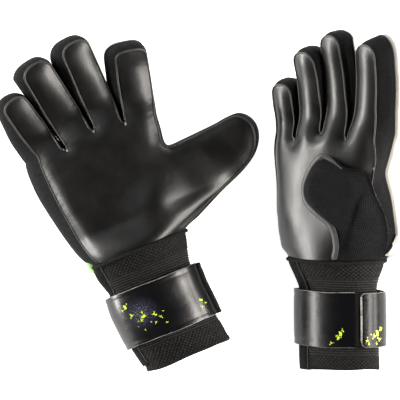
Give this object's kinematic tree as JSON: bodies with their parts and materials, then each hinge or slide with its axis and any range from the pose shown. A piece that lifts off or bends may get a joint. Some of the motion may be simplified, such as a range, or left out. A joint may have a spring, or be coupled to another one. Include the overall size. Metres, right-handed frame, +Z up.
{
  "type": "goalkeeper gloves",
  "caption": "Pair of black padded goalkeeper gloves with smooth latex palms, mesh finger sides, knitted cuffs and wrap-round wrist straps.",
  "frame": {"origin": "under the middle of the pair's bounding box, on the resting plane", "axes": "+Z up out of the palms, +Y towards the fingers, +X from the open glove to the folded one"},
  "size_m": [0.3278, 0.284, 0.121],
  "materials": {
    "palm_latex": "smooth black latex, semi gloss",
    "back_foam": "white latex foam, matt, with pale green accents",
    "side_mesh": "black knitted mesh",
    "lining_towel": "dark grey towelling",
    "wrist_knit": "black elastic knit with ribs and diamonds",
    "side_strip": "darker elastic strip",
    "binding_tape": "black woven tape",
    "strap_coated": "glossy coated strap with yellow-green flecks and white cut edges",
    "loop_pile": "black loop pile",
    "hook_tape": "black hook tape"
  },
  "bodies": {
    "open_hand": {"open_backhand_panel": "back_foam", "open_palm_panel": "palm_latex", "open_outer_edge_gusset": "side_mesh", "open_thumb_side_gusset": "side_mesh", "open_thumb_web": "side_mesh", "open_lining": "lining_towel", "open_wrist_bandage": "wrist_knit", "open_cuff_side_strip": "side_strip", "open_wrist_binding": "binding_tape", "open_loop_patch": "loop_pile", "open_strap_band": "strap_coated"},
    "open_pinky": {"open_pinky_face": "palm_latex", "open_pinky_back": "back_foam", "open_pinky_gusset": "side_mesh"},
    "open_ring": {"open_ring_face": "palm_latex", "open_ring_back": "back_foam", "open_ring_gusset": "side_mesh"},
    "open_middle": {"open_middle_face": "palm_latex", "open_middle_back": "back_foam", "open_middle_gusset": "side_mesh"},
    "open_index": {"open_index_face": "palm_latex", "open_index_back": "back_foam", "open_index_gusset": "side_mesh"},
    "open_thumb": {"open_thumb_face": "palm_latex", "open_thumb_back": "back_foam", "open_thumb_gusset": "side_mesh"},
    "open_flap": {"open_strap_flap": "strap_coated", "open_hook_patch": "hook_tape"},
    "folded_hand": {"folded_backhand_panel": "back_foam", "folded_palm_panel": "palm_latex", "folded_outer_edge_gusset": "side_mesh", "folded_thumb_side_gusset": "side_mesh", "folded_thumb_web": "side_mesh", "folded_lining": "lining_towel", "folded_wrist_bandage": "wrist_knit", "folded_cuff_side_strip": "side_strip", "folded_wrist_binding": "binding_tape", "folded_loop_patch": "loop_pile", "folded_strap_band": "strap_coated"},
    "folded_pinky": {"folded_pinky_face": "palm_latex", "folded_pinky_back": "back_foam", "folded_pinky_gusset": "side_mesh"},
    "folded_ring": {"folded_ring_face": "palm_latex", "folded_ring_back": "back_foam", "folded_ring_gusset": "side_mesh"},
    "folded_middle": {"folded_middle_face": "palm_latex", "folded_middle_back": "back_foam", "folded_middle_gusset": "side_mesh"},
    "folded_index": {"folded_index_face": "palm_latex", "folded_index_back": "back_foam", "folded_index_gusset": "side_mesh"},
    "folded_thumb": {"folded_thumb_face": "palm_latex", "folded_thumb_back": "back_foam", "folded_thumb_gusset": "side_mesh"},
    "folded_flap": {"folded_strap_flap": "strap_coated", "folded_hook_patch": "hook_tape"}
  },
  "joints": [
    {"name": "folded_glove_lift", "type": "slide", "parent": "open_hand", "child": "folded_hand", "axis": [0, 0, 1], "range_m": [0, 0.3]},
    {"name": "open_pinky_flex", "type": "hinge", "parent": "open_hand", "child": "open_pinky", "pos_m": [-0.1231, 0.03478, 0.018], "axis": [0.8177, 0.5491, -0.173], "range_deg": [0, 60]},
    {"name": "open_ring_flex", "type": "hinge", "parent": "open_hand", "child": "open_ring", "pos_m": [-0.10086, 0.04915, 0.018], "axis": [0.854, 0.4907, -0.173], "range_deg": [0, 60]},
    {"name": "open_middle_flex", "type": "hinge", "parent": "open_hand", "child": "open_middle", "pos_m": [-0.07658, 0.06112, 0.018], "axis": [0.9074, 0.3829, -0.173], "range_deg": [0, 60]},
    {"name": "open_index_flex", "type": "hinge", "parent": "open_hand", "child": "open_index", "pos_m": [-0.05023, 0.0653, 0.018], "axis": [0.9702, 0.179, -0.1632], "range_deg": [0, 60]},
    {"name": "open_thumb_flex", "type": "hinge", "parent": "open_hand", "child": "open_thumb", "pos_m": [-0.00384, 0.02257, 0.02], "axis": [0.6561, -0.7547, 0], "range_deg": [0, 55]},
    {"name": "open_strap_peel", "type": "hinge", "parent": "open_hand", "child": "open_flap", "pos_m": [0.00628, -0.07257, 0.01835], "axis": [-0.3746, 0.9272, 0], "range_deg": [0, 80]},
    {"name": "folded_pinky_flex", "type": "hinge", "parent": "folded_hand", "child": "folded_pinky", "pos_m": [0.07798, 0.04937, 0.02215], "axis": [0.7336, -0.0367, 0.6786], "range_deg": [0, 60]},
    {"name": "folded_ring_flex", "type": "hinge", "parent": "folded_hand", "child": "folded_ring", "pos_m": [0.09846, 0.05325, 0.03846], "axis": [0.7308, -0.0031, 0.6826], "range_deg": [0, 60]},
    {"name": "folded_middle_flex", "type": "hinge", "parent": "folded_hand", "child": "folded_middle", "pos_m": [0.11974, 0.05408, 0.05518], "axis": [0.7312, -0.0679, 0.6787], "range_deg": [0, 60]},
    {"name": "folded_index_flex", "type": "hinge", "parent": "folded_hand", "child": "folded_index", "pos_m": [0.14023, 0.04698, 0.07074], "axis": [0.7213, -0.2055, 0.6614], "range_deg": [0, 60]},
    {"name": "folded_thumb_unfold", "type": "hinge", "parent": "folded_hand", "child": "folded_thumb", "pos_m": [0.12625, -0.01825, 0.10039], "axis": [0.5668, 0.6621, 0.4902], "range_deg": [0, 80]},
    {"name": "folded_strap_peel", "type": "hinge", "parent": "folded_hand", "child": "folded_flap", "pos_m": [0.15378, -0.1011, 0.05235], "axis": [0, 0.9976, 0.0698], "range_deg": [0, 80]}
  ]
}
